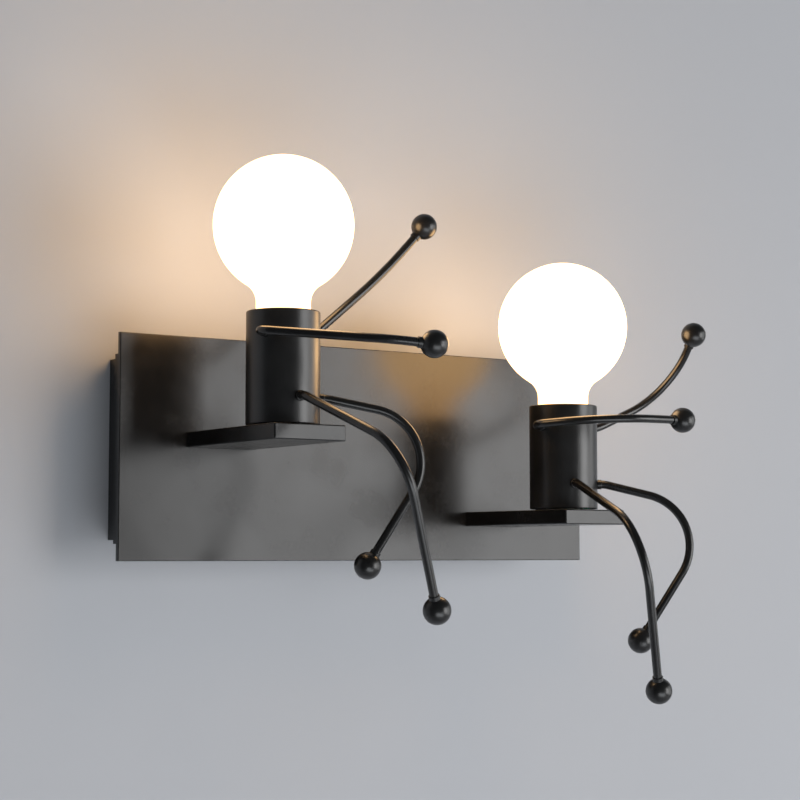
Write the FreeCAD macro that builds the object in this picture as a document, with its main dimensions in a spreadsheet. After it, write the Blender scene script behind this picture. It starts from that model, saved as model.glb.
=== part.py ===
import FreeCAD, Part

import math
import os
import re

import Sketcher
from FreeCAD import Placement, Rotation, Vector

# A wall lamp with two lights. Each light is a small seated figure: a black tube is the trunk, the
# globe bulb above it is the head, and four bent rods with a ball at the end are arms and legs.
# The wall is the plane y = 0, +Z is up and -Y points into the room. The origin is the point of
# the wall behind the middle of the backplate. All sizes are in millimetres and degrees.

# The driving sizes, as name and value.
SIZES = (
    # Backplate, cover and wall pan. Depths are counted from the wall.
    ("plate_length", 340),
    ("plate_height", 132),
    ("plate_thickness", 3),
    ("plate_front", 40),
    ("plate_edge", 0.5),
    ("cover_inset", 10),
    ("cover_sheet", 1.2),
    ("cover_rear", 12),
    ("pan_clearance", 1.1),
    ("pan_sheet", 1.2),
    ("pan_depth", 22),
    ("wall_slot_spacing", 250),
    ("wall_slot_length", 11),
    ("wall_slot_width", 5),
    # Screws that hold the cover on the pan, through its long sides.
    ("screw_spacing", 240),
    ("screw_depth", 17),
    ("screw_diameter", 4),
    ("screw_length", 6),
    ("screw_clearance", 0.1),
    ("screw_head_diameter", 7.4),
    ("screw_head_height", 2.2),
    ("screw_slot_width", 1),
    # Cable inlet, terminal block and earth screw in the pan.
    ("inlet_rise", 32),
    ("inlet_bore", 8),
    ("inlet_wall", 1.5),
    ("inlet_lip", 2),
    ("inlet_lip_thickness", 1.5),
    ("block_length", 32),
    ("block_height", 18),
    ("block_depth", 16),
    ("entry_pitch", 5),
    ("entry_depth", 8),
    ("entry_reach", 4),
    ("entry_clearance", 0.2),
    ("clamp_diameter", 3.8),
    ("clamp_height", 2),
    ("clamp_well", 2.4),
    ("clamp_offset", 4),
    ("earth_drop", 22),
    ("earth_depth", 3.4),
    ("lug_diameter", 9),
    ("lug_thickness", 1),
    ("lug_barrel_diameter", 3.4),
    ("lug_barrel_length", 5),
    ("earth_rise", 4),
    ("earth_tail", 10),
    # Wires: the neutral ones run a step above and in front of the live ones.
    ("wire_diameter", 2),
    ("wire_gap", 0.4),
    ("wire_floor_gap", 0.1),
    ("wire_bend", 3),
    ("wire_rise", 15),
    ("wire_step_up", 8),
    ("wire_step_out", 5),
    # Brackets, from the plate out to the figures.
    ("bracket_reach", 102),
    ("bracket_width", 46),
    ("bracket_thickness", 9),
    ("bracket_wall", 1.5),
    ("bracket_edge", 0.8),
    ("slot_clearance", 0.1),
    ("flange_side", 10),
    ("flange_thickness", 2),
    ("stud_side", 5),
    ("stud_diameter", 4),
    ("stud_length", 9),
    ("stud_clearance", 0.1),
    ("stud_nut_across", 7),
    ("stud_nut_height", 3.2),
    ("end_cap_thickness", 2),
    ("end_cap_plug", 6),
    ("end_cap_clearance", 0.1),
    # The two lamps: place of the tube's axis, and the top of the bracket below the backplate's
    # upper edge on the left and above its lower edge on the right.
    ("axis_reach", 71.5),
    ("left_x", -103.5),
    ("left_drop", 56.5),
    ("right_x", 98.5),
    ("right_rise", 31),
    # Threaded nipple through the bracket, with what turns on it. Heights from the bracket's top.
    ("nipple_diameter", 10),
    ("nipple_bore", 7.5),
    ("nipple_grip", 10),
    ("nipple_clearance", 0.05),
    ("nut_across", 17),
    ("nut_height", 3.5),
    ("washer_diameter", 35),
    ("washer_thickness", 0.8),
    ("spring_diameter", 16),
    ("spring_thickness", 0.8),
    ("spring_gap", 0.05),
    # Tube of the figure.
    ("tube_diameter", 42),
    ("tube_wall", 2.2),
    ("tube_height", 65),
    ("tube_base", 3),
    ("tube_edge", 0.8),
    # Lampholder on the nipple, with a gap to the tube's wall for the clips.
    ("holder_gap", 3.05),
    ("holder_lift", 3.85),
    ("holder_neck_diameter", 16),
    ("holder_neck", 12),
    ("holder_well", 2),
    ("holder_floor", 6),
    ("holder_cup", 30),
    ("holder_wall", 1.9),
    ("shell_fit", 0.1),
    ("shell_sheet", 0.5),
    ("shell_recess", 2),
    ("shell_opening", 16),
    ("thread_clearance", 0.15),
    ("contact_height", 6.5),
    ("contact_diameter", 8),
    ("contact_stem", 4),
    ("contact_flange", 1),
    # Bulb.
    ("globe_diameter", 80),
    ("bulb_length", 118),
    ("glass_wall", 1),
    ("glass_neck_step", 2.4),
    ("glass_neck_rise", 3.5),
    ("glass_fillet", 12),
    ("cap_sheet", 0.5),
    ("cap_threads", 5),
    ("cap_rim", 2.3),
    ("thread_pitch", 3.62),
    ("thread_depth", 0.9),
    ("tip_diameter", 9),
    ("tip_height", 1),
    ("insulator_step", 3.1),
    ("insulator_height", 2.6),
    # Arms and legs: height of their roots, the rod, its root in the tube's wall and the ball.
    ("arm_height", 51.5),
    ("leg_height", 16),
    ("rod_diameter", 5),
    ("root_run", 3),
    ("pin_diameter", 4),
    ("pin_clearance", 0.05),
    ("pin_tail", 0.8),
    ("collar_diameter", 6),
    ("collar_length", 2.4),
    ("collar_edge", 0.4),
    ("collar_gap", 0.05),
    ("clip_diameter", 7),
    ("clip_thickness", 1),
    ("clip_gap", 0.05),
    ("clip_play", 0.02),
    ("groove_diameter", 3),
    ("ball_diameter", 15.5),
    ("ball_neck_diameter", 6.2),
    ("ball_neck", 1.6),
    ("ball_fit", 0.05),
    # Each rod runs out square to the tube, bends, runs on, bends again in the same plane and runs
    # on to the ball.
    ("left_raised_arm_bend_radius", 9),
    ("left_raised_arm_middle_run", 40),
    ("left_raised_arm_hand_radius", 182),
    ("left_raised_arm_end_run", 11.5),
    ("left_forward_arm_bend_radius", 9),
    ("left_forward_arm_middle_run", 61),
    ("left_forward_arm_hand_radius", 35.5),
    ("left_forward_arm_end_run", 11.5),
    ("left_far_leg_bend_radius", 12),
    ("left_far_leg_middle_run", 28),
    ("left_far_leg_hand_radius", 31),
    ("left_far_leg_end_run", 49),
    ("left_near_leg_bend_radius", 12),
    ("left_near_leg_middle_run", 62),
    ("left_near_leg_hand_radius", 30),
    ("left_near_leg_end_run", 70),
    ("right_raised_arm_bend_radius", 32),
    ("right_raised_arm_middle_run", 22),
    ("right_raised_arm_hand_radius", 43),
    ("right_raised_arm_end_run", 12),
    ("right_forward_arm_bend_radius", 9),
    ("right_forward_arm_middle_run", 10),
    ("right_forward_arm_hand_radius", 51),
    ("right_forward_arm_end_run", 26.5),
    ("right_far_leg_bend_radius", 12),
    ("right_far_leg_middle_run", 26.5),
    ("right_far_leg_hand_radius", 32),
    ("right_far_leg_end_run", 48.5),
    ("right_near_leg_bend_radius", 12),
    ("right_near_leg_middle_run", 56.5),
    ("right_near_leg_hand_radius", 34),
    ("right_near_leg_end_run", 67),
)

# The angles, in degrees.
ANGLES = (
    # The way each figure faces, from straight out of the wall towards +X, and how far the roots of
    # its limbs lie to each side of that.
    ("left_facing", 31),
    ("right_facing", 15),
    ("arm_spread", 90),
    ("leg_spread", 35),
    # The two bends of each limb, and the roll that turns their plane about the root: at 0 the rod
    # bends upwards.
    ("left_raised_arm_roll", 33),
    ("left_raised_arm_bend_angle", 49.5),
    ("left_raised_arm_hand_angle", 16),
    ("left_forward_arm_roll", -96),
    ("left_forward_arm_bend_angle", 97),
    ("left_forward_arm_hand_angle", 34),
    ("left_far_leg_roll", 179),
    ("left_far_leg_bend_angle", 11),
    ("left_far_leg_hand_angle", 111),
    ("left_near_leg_roll", -156),
    ("left_near_leg_bend_angle", 23),
    ("left_near_leg_hand_angle", 85),
    ("right_raised_arm_roll", 39),
    ("right_raised_arm_bend_angle", 31.5),
    ("right_raised_arm_hand_angle", 77.5),
    ("right_forward_arm_roll", -87),
    ("right_forward_arm_bend_angle", 102),
    ("right_forward_arm_hand_angle", 66),
    ("right_far_leg_roll", 175),
    ("right_far_leg_bend_angle", 14),
    ("right_far_leg_hand_angle", 108),
    ("right_near_leg_roll", -165.5),
    ("right_near_leg_bend_angle", 19),
    ("right_near_leg_hand_angle", 94),
)

# Sizes that follow from others. The brackets, the cable inlet and the earth screw keep to the
# edges of the backplate, and the lampholder and the bulb's cap to the inside of the tube.
TIED = (
    ("left_top", "plate_height / 2 - left_drop"),
    ("right_top", "right_rise - plate_height / 2"),
    ("inlet_drop", "plate_height / 2 - inlet_rise"),
    ("earth_height", "plate_height / 2 - earth_drop"),
    ("holder_diameter", "tube_diameter - 2 * (tube_wall + holder_gap)"),
    ("shell_diameter", "holder_diameter - 2 * (holder_wall + shell_fit)"),
    ("cap_diameter", "shell_diameter - 2 * (shell_sheet + thread_clearance)"),
    ("glass_neck_diameter", "cap_diameter + 2 * glass_neck_step"),
    ("insulator_diameter", "cap_diameter - 2 * insulator_step"),
)

# Each limb's level on the tube, and its side of the way the figure faces.
LIMBS = {
    "left_raised_arm": ("arm", +1),
    "left_forward_arm": ("arm", -1),
    "left_far_leg": ("leg", +1),
    "left_near_leg": ("leg", -1),
    "right_raised_arm": ("arm", +1),
    "right_forward_arm": ("arm", -1),
    "right_far_leg": ("leg", +1),
    "right_near_leg": ("leg", -1),
}

FUNCTIONS = ("sqrt", "sin", "cos", "vector", "rotation", "placement")
OUT_OF_WALL = Rotation(Vector(1, 0, 0), 90)

document = FreeCAD.newDocument("two_figure_wall_lamp")
sheet = document.addObject("Spreadsheet::Sheet", "Sizes")
nodes = []


def fill_sheet():
    """Write every size and angle into the sheet under its name."""
    tied = [(name, "=" + text) for name, text in TIED]
    for row, (name, amount) in enumerate(SIZES + ANGLES + tuple(tied), 1):
        sheet.set("A%d" % row, name)
        sheet.set("B%d" % row, str(amount))
        sheet.setAlias("B%d" % row, name)
    document.recompute()


def bound(text):
    """An expression of size names as one of the sheet's cells."""

    def cell(word):
        return word[0] if word[0] in FUNCTIONS else "Sizes." + word[0]

    return re.sub(r"[a-z]\w*", cell, str(text))


def value(text):
    """The present value of an expression of size names."""
    return float(sheet.evalExpression(bound(text)))


def node(item, name):
    """Keep an object as a sub-part under this name."""
    item.Label = name
    nodes.append(item)
    return item


def place(item, x=0, y=0, z=0, rotation=Rotation()):
    """Turn an object and put its origin at expressions of size names."""
    item.Placement = Placement(Vector(value(x), value(y), value(z)), rotation)
    for axis, text in zip("xyz", (x, y, z)):
        item.setExpression("Placement.Base." + axis, bound(text))
    return item


# Sketches and features.


def add_sketch(body, plane="XY_Plane", level=0):
    """A sketch on one of the body's own planes, moved along its normal to a level."""
    support = next(item for item in body.Origin.OriginFeatures if item.Role == plane)
    sketch = body.newObject("Sketcher::SketchObject", body.Name + "_sketch")
    sketch.AttachmentSupport = [(support, "")]
    sketch.MapMode = "FlatFace"
    sketch.AttachmentOffset = Placement(Vector(0, 0, value(level)), Rotation())
    sketch.setExpression("AttachmentOffset.Base.z", bound(level))
    return sketch


def fix(sketch, kind, *references, text):
    """Add a dimension that follows an expression of size names."""
    amount = value(text)
    if kind == "Angle":
        amount = math.radians(amount)
    number = sketch.addConstraint(Sketcher.Constraint(kind, *references, amount))
    sketch.setExpression("Constraints[%d]" % number, bound(text))


def fix_point(sketch, edge, end, x, y):
    """Hold one end of an edge at a point counted from the sketch's origin."""
    fix(sketch, "DistanceX", -1, 1, edge, end, text=x)
    fix(sketch, "DistanceY", -1, 1, edge, end, text=y)


def draw_circle(sketch, x, y, diameter):
    centre = Vector(value(x), value(y), 0)
    edge = sketch.addGeometry(Part.Circle(centre, Vector(0, 0, 1), value(diameter) / 2), False)
    fix(sketch, "Diameter", edge, text=diameter)
    fix_point(sketch, edge, 3, x, y)


def arc_between(start, end, radius, side):
    """The arc of under a half turn from start to end, with its centre on the named side."""
    chord = end - start
    half = chord.Length / 2
    square = Vector(-chord.y, chord.x, 0).normalize() * math.sqrt(radius**2 - half**2)
    centre = (start + end) / 2 + (square if side == "left" else -square)
    first, last = (start, end) if side == "left" else (end, start)
    angles = [math.atan2(point.y - centre.y, point.x - centre.x) for point in (first, last)]
    return Part.ArcOfCircle(Part.Circle(centre, Vector(0, 0, 1), radius), *angles)


def draw_outline(sketch, points):
    """Draw a closed outline. A point is (x, y), or (x, y, radius, side) where an arc leads to it
    with its centre on that side of the way."""
    places = [Vector(value(point[0]), value(point[1]), 0) for point in points]
    ends = []
    for number, point in enumerate(points):
        start, end = places[number - 1], places[number]
        if len(point) == 2:
            edge = sketch.addGeometry(Part.LineSegment(start, end), False)
        else:
            arc = arc_between(start, end, value(point[2]), point[3])
            edge = sketch.addGeometry(arc, False)
            fix(sketch, "Radius", edge, text=point[2])
        backwards = len(point) > 2 and point[3] == "right"
        ends.append((edge, 2, 1) if backwards else (edge, 1, 2))
    for number, point in enumerate(points):
        edge, first, last = ends[number]
        following, begin, _ = ends[(number + 1) % len(ends)]
        sketch.addConstraint(Sketcher.Constraint("Coincident", edge, last, following, begin))
        fix_point(sketch, edge, last, point[0], point[1])


def rectangle(left, bottom, right, top):
    return [(left, bottom), (right, bottom), (right, top), (left, top)]


def centred(width, height, inset="0"):
    """A rectangle about the origin, drawn in by an inset on every side."""
    x = "%s / 2 - (%s)" % (width, inset)
    y = "%s / 2 - (%s)" % (height, inset)
    return rectangle("-(%s)" % x, "-(%s)" % y, x, y)


def hexagon(across):
    corner = "%s / sqrt(3)" % across
    return [
        ("%s * cos(%d)" % (corner, turn), "%s * sin(%d)" % (corner, turn))
        for turn in range(0, 360, 60)
    ]


def draw(sketch, loops):
    """Draw each loop: a list of points, or a tuple (x, y, diameter) for a circle."""
    for loop in loops:
        if isinstance(loop, tuple):
            draw_circle(sketch, *loop)
        else:
            draw_outline(sketch, loop)


def new_body(name):
    return document.addObject("PartDesign::Body", name)


def pad(body, loops, level, length):
    """Raise loops from a level along the normal of the body's XY plane."""
    sketch = add_sketch(body, level=level)
    draw(sketch, loops)
    feature = body.newObject("PartDesign::Pad", body.Name + "_pad")
    feature.Profile = sketch
    feature.setExpression("Length", bound(length))
    return body


def pocket(body, loops, level, depth, plane="XY_Plane", along_normal=False):
    """Cut loops into the body from a level, against the plane's normal unless told otherwise."""
    sketch = add_sketch(body, plane, level)
    draw(sketch, loops)
    feature = body.newObject("PartDesign::Pocket", body.Name + "_pocket")
    feature.Profile = sketch
    feature.Reversed = along_normal
    feature.setExpression("Length", bound(depth))
    return body


def turned(body, points, axis="V_Axis"):
    """Turn an outline of the XZ plane about the body's Z axis, or its X axis with H_Axis."""
    sketch = add_sketch(body, "XZ_Plane")
    draw_outline(sketch, points)
    feature = body.newObject("PartDesign::Revolution", body.Name + "_turned")
    feature.Profile = sketch
    feature.ReferenceAxis = (sketch, [axis])
    feature.Angle = 360
    return body


def ring(name, inner, outer, bottom, height):
    """A flat ring about the Z axis, from two diameters."""
    return pad(new_body(name), [("0", "0", outer), ("0", "0", inner)], bottom, height)


def compound(name, items):
    """One node of several equal pieces."""
    group = document.addObject("Part::Compound", name)
    group.Links = items
    return node(group, name)


def rounded(body, chosen, radius):
    """Round the edges of the body's last feature that a test picks."""
    document.recompute()
    base = body.Tip
    edges = base.Shape.Edges
    names = ["Edge%d" % (number + 1) for number, edge in enumerate(edges) if chosen(edge)]
    feature = body.newObject("PartDesign::Fillet", body.Name + "_fillet")
    feature.Base = (base, names)
    feature.setExpression("Radius", bound(radius))
    return body


# Backplate, cover and pan. In these bodies X is to the right, Y up and Z out of the wall.

PLATE_BACK = "plate_front - plate_thickness"
PAN_INSET = "cover_inset + cover_sheet + pan_clearance"


def at_wall(item, name, x=0, z=0):
    place(item, x=x, z=z, rotation=OUT_OF_WALL)
    return node(item, name)


def wall_pan():
    body = new_body("wall_pan")
    pad(body, [centred("plate_length", "plate_height", PAN_INSET)], 0, "pan_depth")
    inside = centred("plate_length", "plate_height", PAN_INSET + " + pan_sheet")
    pocket(body, [inside], "pan_depth", "pan_depth - pan_sheet")
    straight = "(wall_slot_length - wall_slot_width) / 2"
    half = "wall_slot_width / 2"
    for sign in "-+":
        middle = sign + "wall_slot_spacing / 2"
        left, right = middle + " - " + straight, middle + " + " + straight
        slot = rectangle(left, "-" + half, right, half)
        pocket(body, [slot], "pan_sheet", "pan_sheet")
        for end in (left, right):
            pocket(body, [(end, "0", "wall_slot_width")], "pan_sheet", "pan_sheet")
    inlet = ("0", "-inlet_drop", "inlet_bore + 2 * inlet_wall")
    pocket(body, [inlet], "pan_sheet", "pan_sheet")
    side_holes(body, PAN_INSET, "pan_sheet", "screw_diameter")
    at_wall(body, "wall_pan")


def side_holes(body, inset, sheet_name, diameter):
    """Holes for the four cover screws through the two long sides of a box."""
    circles = [(sign + "screw_spacing / 2", "screw_depth", diameter) for sign in "-+"]
    side = "plate_height / 2 - (%s)" % inset
    pocket(body, circles, "-(%s)" % side, sheet_name, "XZ_Plane", along_normal=True)
    pocket(body, circles, side, sheet_name, "XZ_Plane")


def cover_box():
    body = new_body("cover_box")
    outer = centred("plate_length", "plate_height", "cover_inset")
    inner = centred("plate_length", "plate_height", "cover_inset + cover_sheet")
    pad(body, [outer, inner], "cover_rear", PLATE_BACK + " - cover_rear")
    side_holes(body, "cover_inset", "cover_sheet", "screw_diameter + screw_clearance")
    at_wall(body, "cover_box")


def bracket_rectangle(grown):
    """The outline of a bracket's section, with the bracket's top at 0, grown on every side."""
    half = "bracket_width / 2 + (%s)" % grown
    return "-(%s)" % half, "-bracket_thickness - (%s)" % grown, half, grown


def stud_places():
    """Where a bracket's four studs stand, from the middle of its top edge."""
    across = "(bracket_width / 2 + stud_side)"
    up = "(bracket_thickness / 2 + stud_side)"
    return [
        (x_sign + across, "-bracket_thickness / 2 " + y_sign + " " + up)
        for x_sign in "-+"
        for y_sign in "-+"
    ]


def front_plate():
    body = new_body("front_plate")
    loops = [centred("plate_length", "plate_height")]
    studs = []
    for side in ("left", "right"):
        left, bottom, right, top = bracket_rectangle("slot_clearance")
        x, up = side + "_x + ", side + "_top + "
        loops.append(rectangle(x + left, up + bottom, x + right, up + top))
        studs += [(x + across, up + high, "stud_diameter") for across, high in stud_places()]
    pad(body, loops, PLATE_BACK, "plate_thickness")
    pad(body, studs, PLATE_BACK + " - stud_length", "stud_length")
    front = value("plate_front")
    edge_x, edge_y = value("plate_length / 2"), value("plate_height / 2")

    def on_front_rim(edge):
        box = edge.BoundBox
        rim = abs(abs(box.Center.x) - edge_x) < 0.01 or abs(abs(box.Center.y) - edge_y) < 0.01
        return rim and abs(box.ZMin - front) < 0.01

    rounded(body, on_front_rim, "plate_edge")
    at_wall(body, "front_plate")


def cover_screws():
    """Four slotted screws, two on top and two below."""
    screws = []
    height = "plate_height / 2 - cover_inset"
    for z_sign, turn in (("+", 0), ("-", 180)):
        for x_sign in "-+":
            screw = new_body("cover_screw")
            head = "screw_head_diameter / 2"
            shank = "screw_diameter / 2"
            points = [("0", "-screw_length"), (shank, "-screw_length"), (shank, "0"), (head, "0")]
            points += [(head, "screw_head_height"), ("0", "screw_head_height")]
            turned(screw, points)
            slot = centred("screw_head_diameter * 2", "screw_slot_width")
            pocket(screw, [slot], "screw_head_height", "screw_head_height / 2")
            place(
                screw,
                x_sign + "screw_spacing / 2",
                "-screw_depth",
                z_sign + "(" + height + ")",
                Rotation(Vector(1, 0, 0), turn),
            )
            screws.append(screw)
    compound("cover_screws", screws)


def cable_grommet():
    """A rubber ring clipped in the hole of the pan, for the cable from the wall."""
    bore, waist, lip = "inlet_bore / 2", "inlet_bore / 2 + inlet_wall", "inlet_lip"
    rim = waist + " + " + lip
    points = [
        (bore, "0"),
        (waist, "0"),
        (waist, "pan_sheet"),
        (rim, "pan_sheet"),
        (rim, "pan_sheet + inlet_lip_thickness"),
        (bore, "pan_sheet + inlet_lip_thickness"),
    ]
    at_wall(turned(new_body("cable_grommet"), points), "cable_grommet", z="-inlet_drop")


# The block has six entries: two for each lamp, one for earth and a spare one.
ENTRIES = 6
EARTH_ENTRY = 2


def entry_x(number):
    """Across place of one of the block's wire entries."""
    return "entry_pitch * %s" % (number - (ENTRIES - 1) / 2)


def terminal_block():
    body = new_body("terminal_block")
    pad(body, [centred("block_length", "block_height")], "pan_sheet", "block_depth")
    bore = "wire_diameter + 2 * entry_clearance"
    entries = [(entry_x(number), "pan_sheet + entry_depth", bore) for number in range(ENTRIES)]
    pocket(body, entries, "-block_height / 2", "entry_reach", "XZ_Plane", along_normal=True)
    wells = []
    for number in range(ENTRIES):
        wells.append((entry_x(number), "clamp_offset", "clamp_diameter + 2 * entry_clearance"))
    pocket(body, wells, "pan_sheet + block_depth", "clamp_well")
    at_wall(body, "terminal_block")


def terminal_screws():
    screws = []
    for number in range(ENTRIES):
        screw = new_body("terminal_screw")
        bottom = "pan_sheet + block_depth - clamp_well"
        pad(screw, [("0", "0", "clamp_diameter")], bottom, "clamp_height")
        slot = centred("clamp_diameter * 2", "screw_slot_width / 2")
        pocket(screw, [slot], bottom + " + clamp_height", "clamp_height / 2")
        place(screw, x=entry_x(number), z="clamp_offset", rotation=OUT_OF_WALL)
        screws.append(screw)
    compound("terminal_screws", screws)


def earth_screw():
    """A screw in the pan with the ring of the earth wire's lug under its head."""
    body = new_body("earth_screw")
    pad(body, [("0", "0", "lug_diameter")], "pan_sheet", "lug_thickness")
    pad(body, [("0", "0", "screw_head_diameter")], "pan_sheet + lug_thickness", "screw_head_height")
    top = "pan_sheet + lug_thickness + screw_head_height"
    pocket(body, [centred("screw_head_diameter * 2", "screw_slot_width")], top, "screw_slot_width")
    level = "lug_diameter / 2 - screw_slot_width / 2"
    sketch = add_sketch(body, "XZ_Plane", level)
    draw_circle(sketch, "0", "earth_depth", "lug_barrel_diameter")
    barrel = body.newObject("PartDesign::Pad", "lug_barrel")
    barrel.Profile = sketch
    barrel.setExpression("Length", bound("lug_barrel_length"))
    at_wall(body, "earth_screw", x=entry_x(EARTH_ENTRY), z="earth_height")


# Brackets. Their bodies have X to the right, Y up from the bracket's top and Z out of the wall.

FLANGE_BACK = PLATE_BACK + " - flange_thickness"
BRACKET_FRONT = "plate_front + bracket_reach - end_cap_thickness"
AXIS_DEPTH = "plate_front + axis_reach"


def bracket(side):
    body = new_body(side + "_bracket")
    inner = rectangle(*bracket_rectangle("-bracket_wall"))
    outer = rectangle(*bracket_rectangle("0"))
    pad(body, [outer, inner], FLANGE_BACK, "%s - (%s)" % (BRACKET_FRONT, FLANGE_BACK))
    long_side = value(BRACKET_FRONT) - value(FLANGE_BACK)
    half_width = value("bracket_width / 2")

    def outer_corner(edge):
        along = abs(edge.Length - long_side) < 0.01
        return along and abs(abs(edge.BoundBox.Center.x) - half_width) < 0.01

    rounded(body, outer_corner, "bracket_edge")
    holes = [(x, up, "stud_diameter + stud_clearance") for x, up in stud_places()]
    flange = rectangle(*bracket_rectangle("flange_side"))
    pad(body, [flange, inner] + holes, FLANGE_BACK, "flange_thickness")
    hole = ("0", AXIS_DEPTH, "nipple_diameter + 2 * nipple_clearance")
    pocket(body, [hole], 0, "bracket_wall", "XZ_Plane", along_normal=True)
    at_wall(body, side + "_bracket", x=side + "_x", z=side + "_top")


def end_cap(side):
    """The plug that closes the bracket's front end."""
    body = new_body(side + "_end_cap")
    cap = rectangle(*bracket_rectangle("0"))
    plug = rectangle(*bracket_rectangle("-bracket_wall - end_cap_clearance"))
    pad(body, [cap], BRACKET_FRONT, "end_cap_thickness")
    pad(body, [plug], BRACKET_FRONT + " - end_cap_plug", "end_cap_plug")
    front = value(BRACKET_FRONT + " + end_cap_thickness")
    rounded(body, lambda edge: edge.BoundBox.ZMax > front - 0.01, "bracket_edge")
    at_wall(body, side + "_end_cap", x=side + "_x", z=side + "_top")


def bracket_nuts():
    nuts = []
    for side in ("left", "right"):
        for x, up in stud_places():
            nut = new_body("bracket_nut")
            loops = [hexagon("stud_nut_across"), ("0", "0", "stud_diameter")]
            pad(nut, loops, "%s - stud_nut_height" % FLANGE_BACK, "stud_nut_height")
            place(nut, x="%s_x + %s" % (side, x), z="%s_top + %s" % (side, up), rotation=OUT_OF_WALL)
            nuts.append(nut)
    compound("bracket_nuts", nuts)


# The upright stack of each lamp. Heights are counted from the bracket's top, on the tube's axis.

TUBE_FLOOR = "washer_thickness + tube_base"
SPRING_FOOT = TUBE_FLOOR + " + spring_gap"
NUT_FOOT = SPRING_FOOT + " + spring_thickness"
HOLDER_FOOT = NUT_FOOT + " + nut_height + holder_lift"
HOLDER_SHOULDER = HOLDER_FOOT + " + holder_neck"
WELL_TOP = HOLDER_SHOULDER + " + holder_well"
HOLDER_FLOOR = HOLDER_SHOULDER + " + holder_floor"
HOLDER_TOP = HOLDER_FLOOR + " + holder_cup"
CONTACT_TOP = HOLDER_FLOOR + " + contact_height"
NIPPLE_FOOT = "-bracket_wall - nut_height"
NIPPLE_TOP = HOLDER_FOOT + " + nipple_grip"
HOLDER_INSIDE = "(holder_diameter / 2 - holder_wall)"
SHELL_INSIDE = "(shell_diameter / 2 - shell_sheet)"


def on_axis(item, side, rotation=Rotation()):
    return place(item, side + "_x", "-(%s)" % AXIS_DEPTH, side + "_top", rotation)


def nipples():
    made = []
    for side in ("left", "right"):
        height = "%s - (%s)" % (NIPPLE_TOP, NIPPLE_FOOT)
        tube = ring("nipple", "nipple_bore", "nipple_diameter", NIPPLE_FOOT, height)
        made.append(on_axis(tube, side))
    compound("nipples", made)


def nipple_nuts(side):
    """The nut inside the bracket and the one above the tube's floor."""
    made = []
    for foot in (NIPPLE_FOOT, NUT_FOOT):
        nut = new_body("nipple_nut")
        pad(nut, [hexagon("nut_across"), ("0", "0", "nipple_diameter")], foot, "nut_height")
        made.append(on_axis(nut, side))
    compound(side + "_nipple_nuts", made)


def washers():
    """The slip washer under each tube and the spring washer above its floor."""
    for name, diameter, foot, height in (
        ("slip_washers", "washer_diameter", 0, "washer_thickness"),
        ("spring_washers", "spring_diameter", SPRING_FOOT, "spring_thickness"),
    ):
        bore = "nipple_diameter + 2 * nipple_clearance"
        made = []
        for side in ("left", "right"):
            made.append(on_axis(ring("washer", bore, diameter, foot, height), side))
        compound(name, made)


def lampholder(side):
    neck, screw = "holder_neck_diameter / 2", "nipple_diameter / 2"
    cup = "holder_diameter / 2"
    points = [
        (screw, HOLDER_FOOT),
        (neck, HOLDER_FOOT),
        (neck, HOLDER_SHOULDER),
        (cup, WELL_TOP),
        (cup, HOLDER_TOP),
        (HOLDER_INSIDE, HOLDER_TOP),
        (HOLDER_INSIDE, HOLDER_FLOOR),
        ("0", HOLDER_FLOOR),
        ("0", WELL_TOP),
        (screw, WELL_TOP),
    ]
    node(on_axis(turned(new_body(side + "_lampholder"), points), side), side + "_lampholder")


def screw_shell(side):
    outside = "shell_diameter / 2"
    points = [
        ("shell_opening / 2", HOLDER_FLOOR),
        (outside, HOLDER_FLOOR),
        (outside, HOLDER_TOP + " - shell_recess"),
        (SHELL_INSIDE, HOLDER_TOP + " - shell_recess"),
        (SHELL_INSIDE, HOLDER_FLOOR + " + shell_sheet"),
        ("shell_opening / 2", HOLDER_FLOOR + " + shell_sheet"),
    ]
    node(on_axis(turned(new_body(side + "_screw_shell"), points), side), side + "_screw_shell")


def centre_contacts():
    made = []
    for side in ("left", "right"):
        wide, stem = "contact_diameter / 2", "contact_stem / 2"
        points = [
            ("0", HOLDER_FLOOR),
            (wide, HOLDER_FLOOR),
            (wide, HOLDER_FLOOR + " + contact_flange"),
            (stem, HOLDER_FLOOR + " + contact_flange"),
            (stem, CONTACT_TOP + " - contact_flange"),
            (wide, CONTACT_TOP + " - contact_flange"),
            (wide, CONTACT_TOP),
            ("0", CONTACT_TOP),
        ]
        made.append(on_axis(turned(new_body("centre_contact"), points), side))
    compound("centre_contacts", made)


# Figure: the tube and its limbs.


def limb_height(level):
    return level + "_height"


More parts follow.
